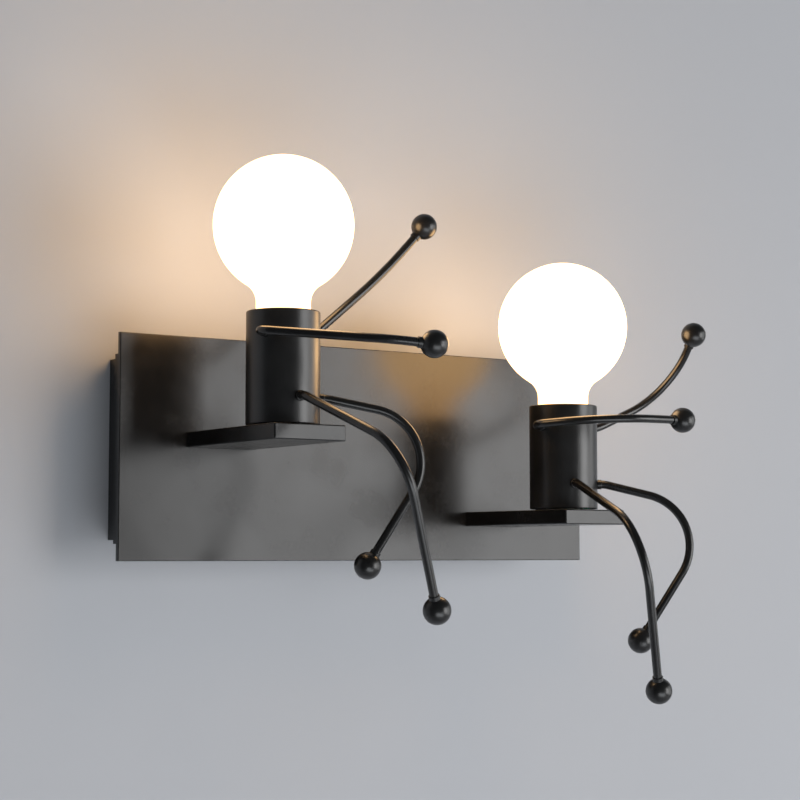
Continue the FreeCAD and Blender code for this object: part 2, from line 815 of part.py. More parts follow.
def tube(side):
    """A cup that turns on the nipple, with a hole in its wall for each limb."""
    outer, bore = "tube_diameter / 2", "nipple_diameter / 2 + nipple_clearance"
    inner = outer + " - tube_wall"
    points = [
        (bore, "washer_thickness"),
        (outer + " - tube_edge", "washer_thickness"),
        (outer, "washer_thickness + tube_edge", "tube_edge", "left"),
        (outer, "tube_height - tube_edge"),
        (outer + " - tube_edge", "tube_height", "tube_edge", "left"),
        (inner, "tube_height"),
        (inner, TUBE_FLOOR),
        (bore, TUBE_FLOOR),
    ]
    cup = turned(new_body(side + "_cup"), points)
    holes = []
    for level in ("arm", "leg"):
        for sign in "-+":
            hole = document.addObject("Part::Cylinder", side + "_limb_hole")
            hole.setExpression("Radius", bound("pin_diameter / 2 + pin_clearance"))
            hole.setExpression("Height", bound("tube_diameter"))
            facing = "rotation(vector(0; 0; 1); %s%s_spread - 90)" % (sign, level)
            level_point = "vector(0; 0; %s)" % limb_height(level)
            turn = facing + " * rotation(vector(0; 1; 0); 90)"
            hole.setExpression("Placement", bound("placement(%s; %s)" % (level_point, turn)))
            holes.append(hole)
    cutters = document.addObject("Part::Compound", side + "_limb_holes")
    cutters.Links = holes
    cut = document.addObject("Part::Cut", side + "_tube")
    cut.Base, cut.Tool = cup, cutters
    on_axis(cut, side, Rotation(Vector(0, 0, 1), value(side + "_facing")))
    node(cut, side + "_tube")


CLIP_FACE = "sqrt((tube_diameter / 2 - tube_wall)^2 - (clip_diameter / 2)^2) - clip_gap"
COLLAR_FACE = "tube_diameter / 2 + collar_gap"
BEND_START = "tube_diameter / 2 + root_run"


def limb_placement(limb):
    """Where a limb's root frame lies: X points out of the tube and Z to the bend's inside."""
    level, sign = LIMBS[limb]
    side = limb.split("_")[0]
    turn = value("%s_facing + %d * %s_spread" % (side, sign, level))
    z = value("%s_top + %s" % (side, limb_height(level)))
    root = Vector(value(side + "_x"), -value(AXIS_DEPTH), z)
    rolled = Rotation(Vector(1, 0, 0), value(limb + "_roll"))
    return Placement(root, Rotation(Vector(0, 0, 1), turn - 90) * rolled)


def limb_route(limb):
    """The rod's corners in its bend plane: ends of each straight run, and each bend's centre."""
    point, angle = Vector(value(BEND_START), 0, 0), 0.0
    corners = [Vector(value(COLLAR_FACE), 0, 0), point]
    centres = []
    for bend, next_run in (("bend", "middle_run"), ("hand", "end_run")):
        radius, turn = value("%s_%s_radius" % (limb, bend)), value("%s_%s_angle" % (limb, bend))
        run = value("%s_%s" % (limb, next_run))
        centre = point + Vector(-math.sin(angle), math.cos(angle), 0) * radius
        centres.append((centre, angle))
        angle += math.radians(turn)
        point = centre + Vector(math.sin(angle), -math.cos(angle), 0) * radius
        corners.append(point)
        point = point + Vector(math.cos(angle), math.sin(angle), 0) * run
        corners.append(point)
    return corners, centres, angle


def draw_route(sketch, limb):
    """Draw the rod's centre line: run, bend, run, bend, run, each tangent to the next."""
    corners, centres, end_angle = limb_route(limb)
    quarter = math.pi / 2
    angles = [angle for _, angle in centres] + [end_angle]
    edges = []
    for number in range(5):
        start, end = corners[number], corners[number + 1]
        if number % 2 == 0:
            edges.append(sketch.addGeometry(Part.LineSegment(start, end), False))
            continue
        centre, angle = centres[number // 2]
        circle = Part.Circle(centre, Vector(0, 0, 1), (start - centre).Length)
        turned_to = angles[number // 2 + 1]
        arc = Part.ArcOfCircle(circle, angle - quarter, turned_to - quarter)
        edges.append(sketch.addGeometry(arc, False))
    first, bend, middle, hand, last = edges
    fix_point(sketch, first, 1, COLLAR_FACE, "0")
    fix_point(sketch, first, 2, BEND_START, "0")
    for before, after in zip(edges, edges[1:]):
        sketch.addConstraint(Sketcher.Constraint("Tangent", before, 2, after, 1))
    fix(sketch, "Radius", bend, text=limb + "_bend_radius")
    fix(sketch, "Angle", bend, text=limb + "_bend_angle")
    fix(sketch, "Distance", middle, text=limb + "_middle_run")
    fix(sketch, "Radius", hand, text=limb + "_hand_radius")
    fix(sketch, "Angle", hand, text=limb + "_hand_angle")
    fix(sketch, "Distance", last, text=limb + "_end_run")


def limb_rod(limb):
    body = new_body(limb)
    pin, collar, groove = "pin_diameter / 2", "collar_diameter / 2", "groove_diameter / 2"
    groove_out = CLIP_FACE + " + clip_play"
    groove_in = CLIP_FACE + " - clip_thickness - clip_play"
    collar_end = COLLAR_FACE + " + collar_length"
    points = [
        (groove_in + " - pin_tail", "0"),
        (collar_end, "0"),
        (collar_end, collar + " - collar_edge"),
        (collar_end + " - collar_edge", collar, "collar_edge", "left"),
        (COLLAR_FACE, collar),
        (COLLAR_FACE, pin),
        (groove_out, pin),
        (groove_out, groove),
        (groove_in, groove),
        (groove_in, pin),
        (groove_in + " - pin_tail", pin),
    ]
    turned(body, points, "H_Axis")
    section = add_sketch(body, "YZ_Plane", COLLAR_FACE)
    draw_circle(section, "0", "0", "rod_diameter")
    route = add_sketch(body, "XZ_Plane")
    draw_route(route, limb)
    rod = body.newObject("PartDesign::AdditivePipe", limb + "_rod")
    rod.Profile = section
    rod.Spine = (route, ["Edge%d" % number for number in range(1, 6)])
    body.Placement = limb_placement(limb)
    node(body, limb)


def limb_clip(limb):
    """The ring that holds the root in the tube's wall, in the groove of its pin."""
    bore = "groove_diameter / 2 + clip_play"
    points = [
        (CLIP_FACE + " - clip_thickness", bore),
        (CLIP_FACE, bore),
        (CLIP_FACE, "clip_diameter / 2"),
        (CLIP_FACE + " - clip_thickness", "clip_diameter / 2"),
    ]
    body = turned(new_body(limb + "_clip"), points, "H_Axis")
    body.Placement = limb_placement(limb)
    node(body, limb + "_clip")


def limb_ball(limb):
    """A ball with a short neck and a blind bore, pushed on the rod. Its X axis is the rod's."""
    bore, neck = "rod_diameter / 2 + ball_fit", "ball_neck_diameter / 2"
    neck_end = "-ball_diameter / 2 - ball_neck"
    where_neck_meets = "-sqrt((ball_diameter / 2)^2 - (ball_neck_diameter / 2)^2)"
    points = [
        ("0", "0"),
        ("0", bore),
        (neck_end, bore),
        (neck_end, neck),
        (where_neck_meets, neck),
        ("ball_diameter / 2", "0", "ball_diameter / 2", "right"),
    ]
    name = limb + ("_hand" if "arm" in limb else "_foot")
    body = turned(new_body(name), points, "H_Axis")
    corners, _, angle = limb_route(limb)
    end = Vector(corners[-1].x, 0, corners[-1].y)
    outwards = Rotation(Vector(0, 1, 0), -math.degrees(angle))
    body.Placement = limb_placement(limb) * Placement(end, outwards)
    node(body, name)


# Bulb, with heights from its tip, which stands on the centre contact.

CAP_FOOT = "tip_height + insulator_height"
CAP_TOP = CAP_FOOT + " + cap_threads * thread_pitch + cap_rim"
GLASS_NECK = CAP_TOP + " + glass_neck_rise"
GLOBE_CENTRE = "bulb_length - globe_diameter / 2"
CAP_ROOT = "cap_diameter / 2 - thread_depth"


def in_holder(body, side, name):
    place(body, side + "_x", "-(%s)" % AXIS_DEPTH, "%s_top + %s" % (side, CONTACT_TOP))
    return node(body, name)


def glass_side(skin):
    """The glass outline from the cap to the globe's top, a skin inside its outer face."""
    neck = "(glass_neck_diameter / 2 - %s)" % skin
    globe = "(globe_diameter / 2 - %s)" % skin
    fillet = "(glass_fillet + %s)" % skin
    across = "(%s + %s)" % (neck, fillet)
    down = "sqrt((%s + %s)^2 - %s^2)" % (globe, fillet, across)
    share = "(%s / (%s + %s))" % (globe, globe, fillet)
    return [
        ("%s - %s" % (CAP_ROOT, skin), CAP_TOP),
        (neck, GLASS_NECK),
        (neck, "%s - %s" % (GLOBE_CENTRE, down)),
        ("%s * %s" % (across, share), "%s - %s * %s" % (GLOBE_CENTRE, down, share)),
        ("0", "%s + %s" % (GLOBE_CENTRE, globe)),
    ], fillet, globe


def bulb_globe(side):
    """Blown glass with an open neck. The fillet between neck and globe is tangent to both."""
    outer, fillet, globe = glass_side("0")
    points = outer[:3] + [outer[3] + (fillet, "right"), outer[4] + (globe, "left")]
    inner, fillet, globe = glass_side("glass_wall")
    points += [inner[4], inner[3] + (globe, "right"), inner[2] + (fillet, "left")]
    points += [inner[1], inner[0]]
    in_holder(turned(new_body(side + "_globe"), points), side, side + "_globe")


def bulb_cap(side):
    """The rolled metal cap, with its thread drawn as rings."""
    points = [(CAP_ROOT + " - cap_sheet", CAP_FOOT), (CAP_ROOT, CAP_FOOT)]
    bulge = "((thread_pitch / 2)^2 + thread_depth^2) / (2 * thread_depth)"
    for number in range(1, round(value("cap_threads")) + 1):
        points.append((CAP_ROOT, "%s + %d * thread_pitch" % (CAP_FOOT, number), bulge, "left"))
    points += [(CAP_ROOT, CAP_TOP), (CAP_ROOT + " - cap_sheet", CAP_TOP)]
    in_holder(turned(new_body(side + "_bulb_cap"), points), side, side + "_bulb_cap")


def bulb_tip(side):
    """The solder contact under the dark glass that parts it from the cap."""
    tip, glass = "tip_diameter / 2", "insulator_diameter / 2"
    points = [
        ("0", "0"),
        (tip, "0"),
        (tip, "tip_height"),
        (glass, "tip_height + insulator_height / 2"),
        (CAP_ROOT, CAP_FOOT),
        ("0", CAP_FOOT),
    ]
    in_holder(turned(new_body(side + "_bulb_tip"), points), side, side + "_bulb_tip")


# Wires from the block through the brackets and up the nipples.


def wire(name, points, reaches):
    """A round wire through points, with an arc at each turn. The arc starts and ends 0.45 of the
    shorter run from its corner, or at the reach given for that corner."""
    edges = []
    start = points[0]
    for number in range(1, len(points) - 1):
        corner = points[number]
        back, ahead = points[number - 1] - corner, points[number + 1] - corner
        half_turn = (math.pi - back.getAngle(ahead)) / 2
        reach = reaches.get(number, 0.45 * min(back.Length, ahead.Length))
        radius = reach / math.tan(half_turn)
        back.normalize()
        ahead.normalize()
        entry, leaving = corner + back * reach, corner + ahead * reach
        inward = (back + ahead).normalize()
        centre = corner + inward * (radius / math.cos(half_turn))
        edges.append(Part.LineSegment(start, entry).toShape())
        edges.append(Part.Arc(entry, centre - inward * radius, leaving).toShape())
        start = leaving
    edges.append(Part.LineSegment(start, points[-1]).toShape())
    route = Part.Wire(edges)
    radius = value("wire_diameter / 2")
    disc = Part.Wire(Part.Circle(points[0], points[1] - points[0], radius).toShape())
    shape = route.makePipeShell([disc], True, False)
    expected = math.pi * radius**2 * route.Length
    if abs(shape.Volume - expected) > 0.01 * expected:
        raise SystemExit("%s: volume %.1f, expected %.1f" % (name, shape.Volume, expected))
    item = document.addObject("Part::Feature", name)
    item.Shape = shape
    return node(item, name)


def lamp_wires():
    """Two wires to each lamp. The live one comes from the block's outer entry, keeps to the pan's
    floor and lies on the far side in the bracket. The neutral one runs above and in front."""
    entry_bottom = value("block_height / 2 - entry_reach")
    behind = value("pan_sheet + entry_depth")
    beside = value("(wire_diameter + wire_gap) / 2")
    mouth, axis = value(FLANGE_BACK), value(AXIS_DEPTH)
    for side, kind, entry, outer in (
        ("left", "live", 0, True),
        ("left", "neutral", 1, False),
        ("right", "neutral", 4, False),
        ("right", "live", 5, True),
    ):
        sign = -1 if side == "left" else 1
        start_x = value(entry_x(entry))
        x = value(side + "_x") + sign * (beside if outer else -beside)
        top = value(side + "_top")
        floor = top - value("bracket_thickness - bracket_wall - wire_floor_gap - wire_diameter / 2")
        level = value("block_height / 2 + wire_rise")
        depth = behind
        if not outer:
            level += value("wire_step_up")
            depth += value("wire_step_out")
        points = [
            Vector(start_x, -behind, entry_bottom),
            Vector(start_x, -behind, level),
            Vector((start_x + x) / 2, -depth, level),
            Vector(x, -depth, floor),
            Vector(x, -axis, floor),
            Vector(x, -axis, top + value(WELL_TOP)),
        ]
        wire("%s_%s_wire" % (side, kind), points, {3: mouth - depth, 4: value("wire_bend")})


def earth_wire():
    """The earth wire, from the block down to the pan's floor and up to the lug."""
    x = value(entry_x(EARTH_ENTRY))
    entry, low = value("pan_sheet + entry_depth"), value("earth_depth")
    lug_foot = value("earth_height - lug_diameter / 2 + screw_slot_width / 2 - lug_barrel_length")
    block_top = value("block_height / 2")
    points = [
        Vector(x, -entry, block_top - value("entry_reach")),
        Vector(x, -entry, block_top + value("earth_rise")),
        Vector(x, -low, lug_foot - value("earth_tail")),
        Vector(x, -low, lug_foot),
    ]
    wire("earth_wire", points, {})


def check_document():
    """Stop if any object failed, or if a cut took nothing away."""
    document.recompute()
    for item in document.Objects:
        if "Invalid" in item.State or "Error" in item.State:
            raise SystemExit("%s failed: %s" % (item.Name, item.State))
        if item.TypeId == "PartDesign::Pocket":
            if item.BaseFeature.Shape.Volume - item.Shape.Volume < 1e-6:
                raise SystemExit("%s cuts nothing" % item.Name)
    for item in nodes:
        if item.Shape.isNull() or not item.Shape.isValid():
            raise SystemExit("%s has no valid shape" % item.Label)


def export():
    os.makedirs("parts", exist_ok=True)
    for item in nodes:
        item.Shape.exportStep("parts/%s.step" % item.Label)
    print("%d nodes" % len(nodes))


fill_sheet()
wall_pan()
cover_box()
front_plate()
cover_screws()
cable_grommet()
terminal_block()
terminal_screws()
earth_screw()
bracket_nuts()
nipples()
washers()
centre_contacts()
for lamp in ("left", "right"):
    bracket(lamp)
    end_cap(lamp)
    nipple_nuts(lamp)
    lampholder(lamp)
    screw_shell(lamp)
    bulb_globe(lamp)
    bulb_cap(lamp)
    bulb_tip(lamp)
    tube(lamp)
for limb_name in LIMBS:
    limb_rod(limb_name)
    limb_ball(limb_name)
    limb_clip(limb_name)
lamp_wires()
earth_wire()
check_document()
export()
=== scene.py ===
"""A black wall lamp with two lights, each a small seated figure with a lit globe for a head.

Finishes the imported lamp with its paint, metals, plastics, glass and wire insulation, and makes
the pale wall, the floor, the lights and the camera that it is looked at with.
"""

import math

import bmesh
import bpy
from mathutils import Matrix, Vector


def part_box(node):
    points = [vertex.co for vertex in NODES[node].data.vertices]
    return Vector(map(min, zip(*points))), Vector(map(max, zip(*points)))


bl_info = {
    "name": "Two Figure Wall Lamp",
    "version": (1, 0, 0),
    "blender": (4, 5, 0),
    "location": "3D View > Sidebar > Wall Lamp",
    "description": "Finishes a wall lamp with two seated figures and lights it on a pale wall",
    "category": "Add Mesh",
}

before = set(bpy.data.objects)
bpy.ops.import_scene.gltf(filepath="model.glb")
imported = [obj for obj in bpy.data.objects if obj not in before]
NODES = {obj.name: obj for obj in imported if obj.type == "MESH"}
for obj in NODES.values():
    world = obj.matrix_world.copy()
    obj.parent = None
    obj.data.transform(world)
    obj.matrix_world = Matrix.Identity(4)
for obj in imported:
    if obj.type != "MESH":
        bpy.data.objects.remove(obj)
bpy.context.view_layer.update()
LAMPS = ("left", "right")
LIMBS = ("raised_arm", "forward_arm", "near_leg", "far_leg")

# The photograph's camera: left of the lamp, a little below it, looking slightly up.
CAMERA_PLACE = (-0.63465, -1.0184, -0.06127)
CAMERA_SIDE = math.radians(33.955)
CAMERA_RISE = math.radians(4.678)
CAMERA_LENS = 84.122
CAMERA_FILM = 36

# The wall lies just behind the pan's back, and its opening is a little smaller than the pan.
WALL_GAP = 0.0003
WALL_LAP = 0.003
WALL_WIDTH, WALL_HEIGHT = 4.8, 3.6
FLOOR_REACH = 2.4

# Each soft light: name, place, what it faces, width and height, share of the key light, colour.
LAMP_MIDDLE = (0, -0.07, 0)
WHITE = (1.0, 1.0, 1.0)
SKY_WHITE = (0.93, 0.965, 1.0)
SOFTBOXES = (
    ("softbox_right", (2.0, -2.8, -0.1), LAMP_MIDDLE, (1.6, 2.0), 1.0, WHITE),
    ("softbox_side", (2.56, -1.21, -0.1), LAMP_MIDDLE, (1.6, 2.0), 0.38, WHITE),
    ("softbox_below", (-0.3, -1.7, -1.3), (-0.1, 0.0, -0.1), (2.0, 1.4), 0.55, SKY_WHITE),
    ("softbox_behind", (0.4, 1.6, 0.4), LAMP_MIDDLE, (1.2, 1.2), 0.6, WHITE),
)
ROOM_LIGHT = (0.9, 0.95, 1.0)
ROOM_SEEN = (0.44, 0.445, 0.468)


def limb_nodes(ending=""):
    """The CAD nodes of all eight limbs: rods, or what their names end with."""
    return [f"{lamp}_{limb}{ending}" for lamp in LAMPS for limb in LIMBS]


# Node graphs


class Graph:
    """A material's nodes, with short ways to the textures that the finishes share."""

    def __init__(self, name):
        self.material = bpy.data.materials.new(name)
        self.material.use_nodes = True
        self.tree = self.material.node_tree
        self.tree.nodes.clear()
        self.output = self.tree.nodes.new("ShaderNodeOutputMaterial")
        self.shader = self.tree.nodes.new("ShaderNodeBsdfPrincipled")
        self.link(self.shader.outputs["BSDF"], self.output.inputs["Surface"])
        self.place = self.tree.nodes.new("ShaderNodeTexCoord").outputs["Object"]

    def link(self, source, target):
        self.tree.links.new(source, target)

    def set(self, **sockets):
        """Fix numbers and colours on the shader's own sockets."""
        for name, amount in sockets.items():
            socket = self.shader.inputs[name.replace("_", " ")]
            socket.default_value = (*amount, 1) if isinstance(amount, tuple) else amount

    def mapped(self, scale=(1, 1, 1), shift=(0, 0, 0)):
        """Object coordinates, stretched and moved."""
        mapping = self.tree.nodes.new("ShaderNodeMapping")
        mapping.inputs["Scale"].default_value = scale
        mapping.inputs["Location"].default_value = shift
        self.link(self.place, mapping.inputs["Vector"])
        return mapping.outputs["Vector"]

    def noise(self, scale, detail=2.0, rough=0.5, stretch=(1, 1, 1), shift=(0, 0, 0)):
        """Cloudy noise from 0 to 1; a scale of 1000 has grains about a millimetre wide."""
        texture = self.tree.nodes.new("ShaderNodeTexNoise")
        texture.inputs["Scale"].default_value = scale
        texture.inputs["Detail"].default_value = detail
        texture.inputs["Roughness"].default_value = rough
        self.link(self.mapped(stretch, shift), texture.inputs["Vector"])
        return texture.outputs["Fac"]

    def cells(self, scale):
        """The distance from the middles of scattered cells."""
        texture = self.tree.nodes.new("ShaderNodeTexVoronoi")
        texture.inputs["Scale"].default_value = scale
        self.link(self.mapped(), texture.inputs["Vector"])
        return texture.outputs["Distance"]

    def ranged(self, source, low, high, start=0.0, end=1.0):
        """source from low to high, spread from start to end."""
        mapping = self.tree.nodes.new("ShaderNodeMapRange")
        mapping.interpolation_type = "SMOOTHSTEP"
        ends = {"From Min": low, "From Max": high, "To Min": start, "To Max": end}
        for name, amount in ends.items():
            mapping.inputs[name].default_value = amount
        self.link(source, mapping.inputs["Value"])
        return mapping.outputs["Result"]

    def maths(self, kind, first, second):
        """first and second, each a number or an output, under one operation."""
        node = self.tree.nodes.new("ShaderNodeMath")
        node.operation = kind
        for socket, part in zip(node.inputs, (first, second)):
            if isinstance(part, (int, float)):
                socket.default_value = part
            else:
                self.link(part, socket)
        return node.outputs["Value"]

    def mixed(self, share, first, second):
        """A colour between two, each a colour or an output."""
        node = self.tree.nodes.new("ShaderNodeMix")
        node.data_type = "RGBA"
        self.link(share, node.inputs["Factor"])
        for socket, part in zip((node.inputs[6], node.inputs[7]), (first, second)):
            if isinstance(part, tuple):
                socket.default_value = (*part, 1)
            else:
                self.link(part, socket)
        return node.outputs[2]

    def bump(self, height, depth, strength=1.0, under=None):
        """Surface relief as deep as depth, in metres."""
        node = self.tree.nodes.new("ShaderNodeBump")
        node.inputs["Strength"].default_value = strength
        node.inputs["Distance"].default_value = depth
        self.link(height, node.inputs["Height"])
        if under is not None:
            self.link(under, node.inputs["Normal"])
        return node.outputs["Normal"]

    def into(self, **outputs):
        """Lead outputs to the shader's sockets."""
        for name, source in outputs.items():
            self.link(source, self.shader.inputs[name.replace("_", " ")])


def lighter(colour, share):
    """The colour moved towards white by a share, or towards black by a negative one."""
    return tuple(c + (1 - c) * share if share > 0 else c * (1 + share) for c in colour)


# Finishes


def powder_coat(name, colour, gloss, shine=0.48, peel=0.000012):
    """Baked powder paint: even, with a faint orange peel, a few pinholes and rubbed patches."""
    g = Graph(name)
    clouds = g.noise(38, 3, 0.55)
    grain = g.noise(2600, 2, 0.6)
    rubbed = g.ranged(g.noise(17, 4, 0.62, shift=(3, 1, 7)), 0.54, 0.72)
    tone = g.maths("ADD", g.maths("MULTIPLY", clouds, 0.65), g.maths("MULTIPLY", grain, 0.35))
    body = g.mixed(g.ranged(tone, 0.3, 0.7), lighter(colour, -0.22), lighter(colour, 0.006))
    g.into(Base_Color=g.mixed(g.maths("MULTIPLY", rubbed, 0.4), body, lighter(colour, 0.012)))
    even = g.ranged(clouds, 0.25, 0.75, gloss - 0.03, gloss + 0.03)
    fine = g.maths("MULTIPLY", g.maths("SUBTRACT", grain, 0.5), 0.07)
    dull = g.maths("MULTIPLY", rubbed, 0.035)
    g.into(Roughness=g.maths("ADD", g.maths("ADD", even, fine), dull))
    wavy = g.bump(g.noise(720, 2, 0.45), peel)
    pinholes = g.ranged(g.cells(900), 0.0, 0.10)
    g.into(Normal=g.bump(pinholes, depth=0.000004, strength=0.5, under=wavy))
    g.set(Specular_IOR_Level=shine)
    return g.material


def lit_opal_glass(name, colour, light, strength, neck, top):
    """Opal glass lit from inside: warmest at the neck, brightest from the globe's middle up."""
    g = Graph(name)
    split = g.tree.nodes.new("ShaderNodeSeparateXYZ")
    g.link(g.place, split.inputs["Vector"])
    rise = g.ranged(split.outputs["Z"], neck, neck + (top - neck) * 0.45)
    mottle = g.noise(90, 3, 0.5)
    deeper = tuple(c ** 1.25 for c in light)
    warm = g.mixed(rise, deeper, light)
    patches = g.ranged(mottle, 0.3, 0.7, 0.0, 0.12)
    g.into(Emission_Color=g.mixed(patches, warm, lighter(light, 0.3)))
    upward = g.ranged(rise, 0, 1, strength * 0.78, strength * 0.98)
    g.into(Emission_Strength=g.maths("ADD", upward, g.maths("MULTIPLY", mottle, strength * 0.04)))
    g.into(Base_Color=g.mixed(mottle, lighter(colour, -0.02), lighter(colour, 0.25)))
    g.into(Roughness=g.ranged(g.noise(160, 2), 0.3, 0.7, 0.1, 0.16))
    g.into(Normal=g.bump(g.noise(55, 2, 0.4), 0.00002))
    g.set(Coat_Weight=0.4, Coat_Roughness=0.05)
    return g.material


def plated_metal(name, colour, gloss, tint):
    """Plated or bare metal: drawn or rolled streaks, a passing tint and dull handled patches."""
    g = Graph(name)
    lines = g.noise(1900, 3, 0.65, stretch=(1, 1, 14))
    clouds = g.noise(130, 3, 0.6)
    tinted = g.mixed(g.ranged(clouds, 0.35, 0.7), colour, tint)
    scored = g.ranged(lines, 0.2, 0.85, 0.0, 0.35)
    g.into(Base_Color=g.mixed(scored, tinted, lighter(colour, -0.35)))
    dull = g.ranged(g.noise(60, 3, 0.6, shift=(5, 2, 1)), 0.45, 0.7, 0.0, 0.12)
    g.into(Roughness=g.maths("ADD", g.ranged(lines, 0.25, 0.75, gloss - 0.05, gloss + 0.06), dull))
    g.into(Normal=g.bump(lines, depth=0.000004, strength=0.7))
    g.set(Metallic=1.0)
    return g.material


def moulded_plastic(name, colour, gloss, speck=0.5, clear=0.0):
    """Moulded plastic or rubber: spark-eroded grain, flow marks and pale dust in places."""
    g = Graph(name)
    grain = g.noise(3400, 2, 0.55)
    flow = g.noise(85, 4, 0.6, stretch=(1, 1, 0.35))
    body = g.mixed(g.ranged(flow, 0.3, 0.7), lighter(colour, -0.14), lighter(colour, 0.02))
    dust = g.ranged(g.noise(420, 4, 0.7, shift=(2, 9, 4)), 0.6, 0.8, 0.0, 0.25)
    g.into(Base_Color=g.mixed(dust, body, lighter(colour, 0.12)))
    even = g.ranged(grain, 0.25, 0.75, gloss - 0.05, gloss + 0.05)
    g.into(Roughness=g.maths("ADD", even, g.maths("MULTIPLY", dust, 0.3)))
    g.into(Normal=g.bump(grain, depth=0.00001, strength=speck))
    if clear:
        g.set(Subsurface_Weight=clear, Subsurface_Scale=0.002)
    return g.material


def wire_insulation(name, colour, stripe=None):
    """Soft insulation of a wire, with a faint draw line, and a stripe on the earth wire."""
    g = Graph(name)
    grain = g.noise(2400, 2, 0.5)
    drawn = g.noise(900, 2, 0.5, stretch=(1, 1, 0.08))
    body = g.mixed(g.ranged(drawn, 0.3, 0.7), lighter(colour, -0.12), lighter(colour, 0.05))
    if stripe:
        band = g.ranged(g.noise(420, 0, 0.0, stretch=(1, 0.2, 0.05)), 0.49, 0.51)
        body = g.mixed(band, body, stripe)
    g.into(Base_Color=body)
    g.into(Roughness=g.ranged(grain, 0.25, 0.75, 0.36, 0.5))
    g.into(Normal=g.bump(drawn, depth=0.00001, strength=0.5))
    return g.material


def paint(nodes, material):
    """Give CAD nodes a finish."""
    for name in nodes:
        slots = NODES[name].material_slots
        for slot in slots:
            slot.material = material
        if not slots:
            raise RuntimeError(f"{name} has no material slot")


# What a user would change


class LampFinishes(bpy.types.PropertyGroup):
    coat_colour: bpy.props.FloatVectorProperty(
        name="Coat",
        description="Colour of the black powder paint",
        subtype="COLOR", size=3, min=0, max=1, default=(0.0055, 0.0055, 0.0057))
    coat_gloss: bpy.props.FloatProperty(
        name="Coat roughness",
        description="How blurred the paint's reflections are",
        default=0.25, min=0.1, max=0.8)
    glass_colour: bpy.props.FloatVectorProperty(
        name="Glass",
        description="Colour of the opal glass when unlit",
        subtype="COLOR", size=3, min=0, max=1, default=(0.88, 0.86, 0.81))
    light_colour: bpy.props.FloatVectorProperty(
        name="Light",
        description="Colour of the bulbs' light",
        subtype="COLOR", size=3, min=0, max=1, default=(1.0, 0.6, 0.26))
    light_strength: bpy.props.FloatProperty(
        name="Light strength",
        description="Brightness of the lit glass, where 1 is white",
        default=8.0, min=0, max=50)


class LampStage(bpy.types.PropertyGroup):
    wall_colour: bpy.props.FloatVectorProperty(
        name="Wall",
        description="Colour of the wall behind the lamp",
        subtype="COLOR", size=3, min=0, max=1, default=(0.52, 0.533, 0.563))
    floor_colour: bpy.props.FloatVectorProperty(
        name="Floor",
        description="Colour of the floor",
        subtype="COLOR", size=3, min=0, max=1, default=(0.62, 0.62, 0.63))
    floor_level: bpy.props.FloatProperty(
        name="Floor level",
        description="Height of the floor from the lamp's middle",
        unit="LENGTH", default=-1.5)
    key_strength: bpy.props.FloatProperty(
        name="Key light",
        description="Power of the large soft light on the right, in watts",
        default=47.0, min=0)
    room_strength: bpy.props.FloatProperty(
        name="Room light",
        description="Strength of the even light of the room",
        default=0.08, min=0)


# Operators


class WALLLAMP_OT_coat_steel(bpy.types.Operator):
    """Paint plate, cover, brackets, tubes, rods and balls with powder coat"""

    bl_idname = "wall_lamp.coat_steel"
    bl_label = "Coat Steel"

    def execute(self, context):
        finish = context.scene.wall_lamp_finishes
        black, gloss = tuple(finish.coat_colour), finish.coat_gloss
        sheet = powder_coat("black_coat_sheet", black, gloss)
        tube = powder_coat("black_coat_tube", black, gloss + 0.06, shine=0.7)
        rod = powder_coat("black_coat_rod", black, gloss, shine=0.6, peel=0.000008)
        ball = powder_coat("black_coat_ball", black, gloss + 0.05, shine=0.6, peel=0.000016)
        paint(["front_plate", "cover_box", "wall_pan"], sheet)
        paint(["left_bracket", "right_bracket", "left_end_cap", "right_end_cap"], sheet)
        paint(["left_tube", "right_tube"], tube)
        paint(limb_nodes(), rod)
        paint([name for name in NODES if name.endswith(("_hand", "_foot"))], ball)
        return {"FINISHED"}


class WALLLAMP_OT_light_globes(bpy.types.Operator):
    """Make the globes lit opal glass"""

    bl_idname = "wall_lamp.light_globes"
    bl_label = "Light Globes"

    def execute(self, context):
        finish = context.scene.wall_lamp_finishes
        glass, light = tuple(finish.glass_colour), tuple(finish.light_colour)
        for lamp in LAMPS:
            globe = f"{lamp}_globe"
            low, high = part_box(globe)
            name = f"opal_glass_{lamp}"
            lit = lit_opal_glass(name, glass, light, finish.light_strength, low.z, high.z)
            paint([globe], lit)
        return {"FINISHED"}


class WALLLAMP_OT_plate_bulb_caps(bpy.types.Operator):
    """Plate the bulbs' screw caps, and blacken the glass at their tips"""

    bl_idname = "wall_lamp.plate_bulb_caps"
    bl_label = "Plate Bulb Caps"

    def execute(self, context):
        nickel = plated_metal(
            "nickel_plate", colour=(0.72, 0.69, 0.63), gloss=0.24, tint=(0.68, 0.62, 0.53))
        black_glass = moulded_plastic(
            "black_cap_glass", colour=(0.02, 0.018, 0.02), gloss=0.16, speck=0.1)
        paint(["left_bulb_cap", "right_bulb_cap"], nickel)
        paint(["left_bulb_tip", "right_bulb_tip"], black_glass)
        return {"FINISHED"}


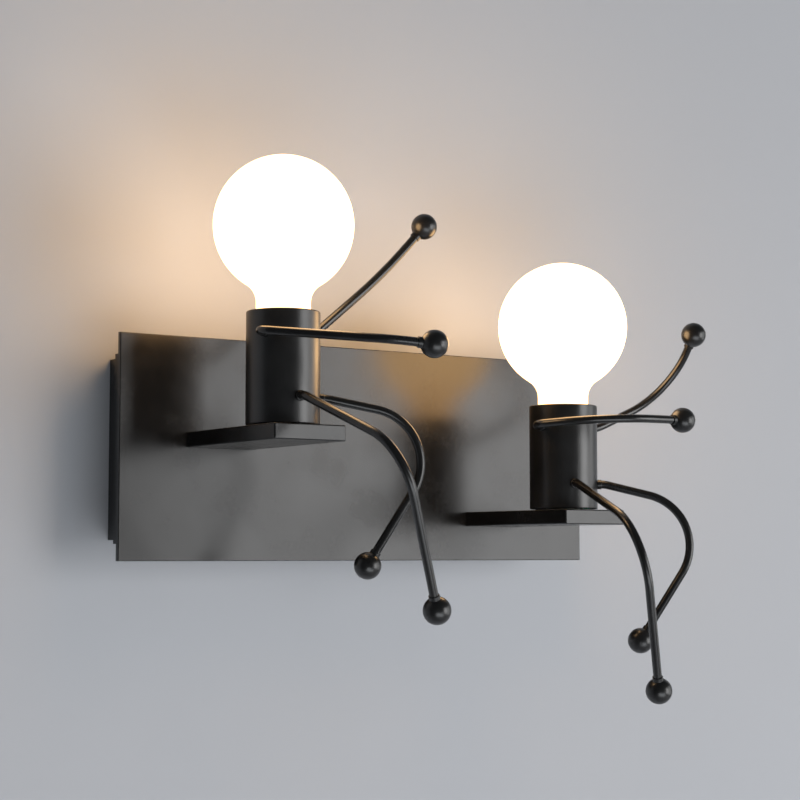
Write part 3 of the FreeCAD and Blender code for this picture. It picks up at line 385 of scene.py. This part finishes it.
class WALLLAMP_OT_finish_fittings(bpy.types.Operator):
    """Finish nuts, screws, clips, lampholders, washers, terminal block, grommet and wires"""

    bl_idname = "wall_lamp.finish_fittings"
    bl_label = "Finish Fittings"

    def execute(self, context):
        self.metals()
        self.plastics()
        self.wires()
        return {"FINISHED"}

    def metals(self):
        """Zinc plate on nuts, screws, nipples, washers and clips, and brass where current goes."""
        zinc = plated_metal(
            "zinc_plate", colour=(0.6, 0.6, 0.58), gloss=0.33, tint=(0.56, 0.57, 0.5))
        paint(limb_nodes("_clip"), zinc)
        paint(["bracket_nuts", "cover_screws", "earth_screw", "terminal_screws"], zinc)
        paint(["nipples", "left_nipple_nuts", "right_nipple_nuts", "spring_washers"], zinc)
        brass = plated_metal(
            "brass_sheet", colour=(0.74, 0.54, 0.24), gloss=0.28, tint=(0.62, 0.42, 0.2))
        paint(["left_screw_shell", "right_screw_shell", "centre_contacts"], brass)

    def plastics(self):
        """Lampholders, slip washers, terminal block and grommet."""
        holder = moulded_plastic(
            "black_holder_plastic", colour=(0.022, 0.021, 0.021), gloss=0.42, speck=0.6)
        nylon = moulded_plastic(
            "milky_nylon", colour=(0.74, 0.72, 0.66), gloss=0.4, speck=0.3, clear=0.2)
        block = moulded_plastic(
            "white_block_plastic", colour=(0.78, 0.78, 0.75), gloss=0.45, speck=0.5)
        rubber = moulded_plastic(
            "black_rubber", colour=(0.025, 0.025, 0.026), gloss=0.62, speck=0.8)
        paint(["left_lampholder", "right_lampholder"], holder)
        paint(["slip_washers"], nylon)
        paint(["terminal_block"], block)
        paint(["cable_grommet"], rubber)

    def wires(self):
        """Brown live wires, blue neutral ones and a green and yellow earth wire."""
        brown, blue = (0.17, 0.075, 0.035), (0.04, 0.16, 0.48)
        green, yellow = (0.12, 0.36, 0.06), (0.75, 0.6, 0.03)
        for lamp in LAMPS:
            paint([f"{lamp}_live_wire"], wire_insulation(f"brown_wire_{lamp}", brown))
            paint([f"{lamp}_neutral_wire"], wire_insulation(f"blue_wire_{lamp}", blue))
        paint(["earth_wire"], wire_insulation("striped_earth_wire", green, yellow))


class WALLLAMP_OT_build_stage(bpy.types.Operator):
    """Build the pale wall and floor, the soft lights and the camera"""

    bl_idname = "wall_lamp.build_stage"
    bl_label = "Build Stage"

    def execute(self, context):
        stage = context.scene.wall_lamp_stage
        self.wall(stage)
        self.floor(stage)
        self.lights(context, stage)
        self.camera(context)
        context.scene.view_settings.view_transform = "Standard"
        return {"FINISHED"}

    def wall(self, stage):
        """A wall round the lamp's pan, open behind it and clear when looked at from the back."""
        low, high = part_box("wall_pan")
        middle = (low + high) / 2
        mesh = bmesh.new()
        bmesh.ops.create_grid(mesh, x_segments=1, y_segments=1, size=0.5)
        width, height = high.x - low.x - 2 * WALL_LAP, high.z - low.z - 2 * WALL_LAP
        upright = Matrix.Rotation(math.pi / 2, 4, "X")
        turn = Matrix.Translation((middle.x, WALL_GAP, middle.z)) @ upright
        bmesh.ops.scale(mesh, vec=(width, height, 1), verts=mesh.verts)
        bmesh.ops.delete(mesh, geom=mesh.faces[:], context="FACES_ONLY")
        ring = bmesh.ops.extrude_edge_only(mesh, edges=mesh.edges[:])
        outer = [v for v in ring["geom"] if isinstance(v, bmesh.types.BMVert)]
        bmesh.ops.scale(mesh, vec=(WALL_WIDTH / width, WALL_HEIGHT / height, 1), verts=outer)
        bmesh.ops.transform(mesh, matrix=turn, verts=mesh.verts)
        bmesh.ops.recalc_face_normals(mesh, faces=mesh.faces)
        if sum(f.normal.y for f in mesh.faces) > 0:
            bmesh.ops.reverse_faces(mesh, faces=mesh.faces)
        self.add(mesh, "wall", self.plaster("wall_paint", tuple(stage.wall_colour), True))

    def floor(self, stage):
        """A plain floor, well below the lamp."""
        level = Matrix.Translation((0, 0, stage.floor_level))
        mesh = bmesh.new()
        bmesh.ops.create_grid(mesh, x_segments=1, y_segments=1, size=FLOOR_REACH, matrix=level)
        self.add(mesh, "floor", self.plaster("floor_paint", tuple(stage.floor_colour), False))

    def add(self, mesh, name, material):
        """Make a bmesh a part of the stage."""
        data = bpy.data.meshes.new(name)
        mesh.to_mesh(data)
        mesh.free()
        data.materials.append(material)
        thing = bpy.data.objects.new(name, data)
        bpy.context.scene.collection.objects.link(thing)

    def plaster(self, name, colour, clear_back):
        """Matt wall paint. With clear_back it isn't there when seen from behind."""
        g = Graph(name)
        clouds = g.ranged(g.noise(2.2, 2), 0.3, 0.7)
        g.into(Base_Color=g.mixed(clouds, lighter(colour, -0.015), lighter(colour, 0.006)))
        g.into(Roughness=g.ranged(g.noise(30, 2), 0.3, 0.7, 0.82, 0.9))
        g.set(Specular_IOR_Level=0.2)
        if clear_back:
            side = g.tree.nodes.new("ShaderNodeNewGeometry").outputs["Backfacing"]
            clear = g.tree.nodes.new("ShaderNodeBsdfTransparent").outputs["BSDF"]
            either = g.tree.nodes.new("ShaderNodeMixShader")
            g.link(side, either.inputs["Fac"])
            g.link(g.shader.outputs["BSDF"], either.inputs[1])
            g.link(clear, either.inputs[2])
            g.link(either.outputs["Shader"], g.output.inputs["Surface"])
        return g.material

    def softbox(self, name, spot, target, size, power, colour):
        """A soft rectangular light that faces its target."""
        light = bpy.data.lights.new(name, "AREA")
        light.shape = "RECTANGLE"
        light.size, light.size_y = size
        light.energy = power
        light.color = colour
        lamp = bpy.data.objects.new(name, light)
        lamp.matrix_world = self.facing(spot, Vector(target) - Vector(spot))
        lamp.visible_camera = False
        bpy.context.scene.collection.objects.link(lamp)

    def facing(self, spot, way):
        """The matrix that puts a light or camera at spot and points it along way."""
        turn = way.to_track_quat("-Z", "Y").to_matrix().to_4x4()
        return Matrix.Translation(spot) @ turn

    def lights(self, context, stage):
        """Two large soft lights on the right, one below for the wall and one for the back."""
        for name, spot, target, size, share, colour in SOFTBOXES:
            self.softbox(name, spot, target, size, stage.key_strength * share, colour)
        world = bpy.data.worlds.new("room")
        world.use_nodes = True
        tree = world.node_tree
        tree.nodes.clear()
        output = tree.nodes.new("ShaderNodeOutputWorld")
        light = tree.nodes.new("ShaderNodeBackground")
        light.inputs["Color"].default_value = (*ROOM_LIGHT, 1)
        light.inputs["Strength"].default_value = stage.room_strength
        seen = tree.nodes.new("ShaderNodeBackground")
        seen.inputs["Color"].default_value = (*ROOM_SEEN, 1)
        rays = tree.nodes.new("ShaderNodeLightPath").outputs["Is Camera Ray"]
        either = tree.nodes.new("ShaderNodeMixShader")
        tree.links.new(rays, either.inputs["Fac"])
        tree.links.new(light.outputs["Background"], either.inputs[1])
        tree.links.new(seen.outputs["Background"], either.inputs[2])
        tree.links.new(either.outputs["Shader"], output.inputs["Surface"])
        context.scene.world = world

    def camera(self, context):
        """The photograph's camera."""
        data = bpy.data.cameras.new("camera")
        data.lens = CAMERA_LENS
        data.sensor_width = CAMERA_FILM
        data.clip_start = 0.01
        camera = bpy.data.objects.new("camera", data)
        level = math.cos(CAMERA_RISE)
        look = Vector((
            math.sin(CAMERA_SIDE) * level, math.cos(CAMERA_SIDE) * level, math.sin(CAMERA_RISE)))
        camera.matrix_world = self.facing(CAMERA_PLACE, look)
        context.scene.collection.objects.link(camera)
        context.scene.camera = camera


class WALLLAMP_PT_sidebar(bpy.types.Panel):
    bl_idname = "WALLLAMP_PT_sidebar"
    bl_label = "Wall Lamp"
    bl_space_type = "VIEW_3D"
    bl_region_type = "UI"
    bl_category = "Wall Lamp"

    def draw(self, context):
        for group in GROUPS:
            values = getattr(context.scene, group)
            box = self.layout.box()
            for name in values.__annotations__:
                box.prop(values, name)
        for step in STEPS:
            self.layout.operator(step.bl_idname)


STEPS = (
    WALLLAMP_OT_coat_steel,
    WALLLAMP_OT_light_globes,
    WALLLAMP_OT_plate_bulb_caps,
    WALLLAMP_OT_finish_fittings,
    WALLLAMP_OT_build_stage,
)
GROUPS = {"wall_lamp_finishes": LampFinishes, "wall_lamp_stage": LampStage}


def register():
    for item in (*GROUPS.values(), *STEPS, WALLLAMP_PT_sidebar):
        bpy.utils.register_class(item)
    for name, group in GROUPS.items():
        setattr(bpy.types.Scene, name, bpy.props.PointerProperty(type=group))


def unregister():
    for name in GROUPS:
        delattr(bpy.types.Scene, name)
    for item in (WALLLAMP_PT_sidebar, *reversed(STEPS), *GROUPS.values()):
        bpy.utils.unregister_class(item)


def main():
    register()
    for step in STEPS:
        group, name = step.bl_idname.split(".")
        getattr(getattr(bpy.ops, group), name)()


if __name__ == "__main__":
    main()
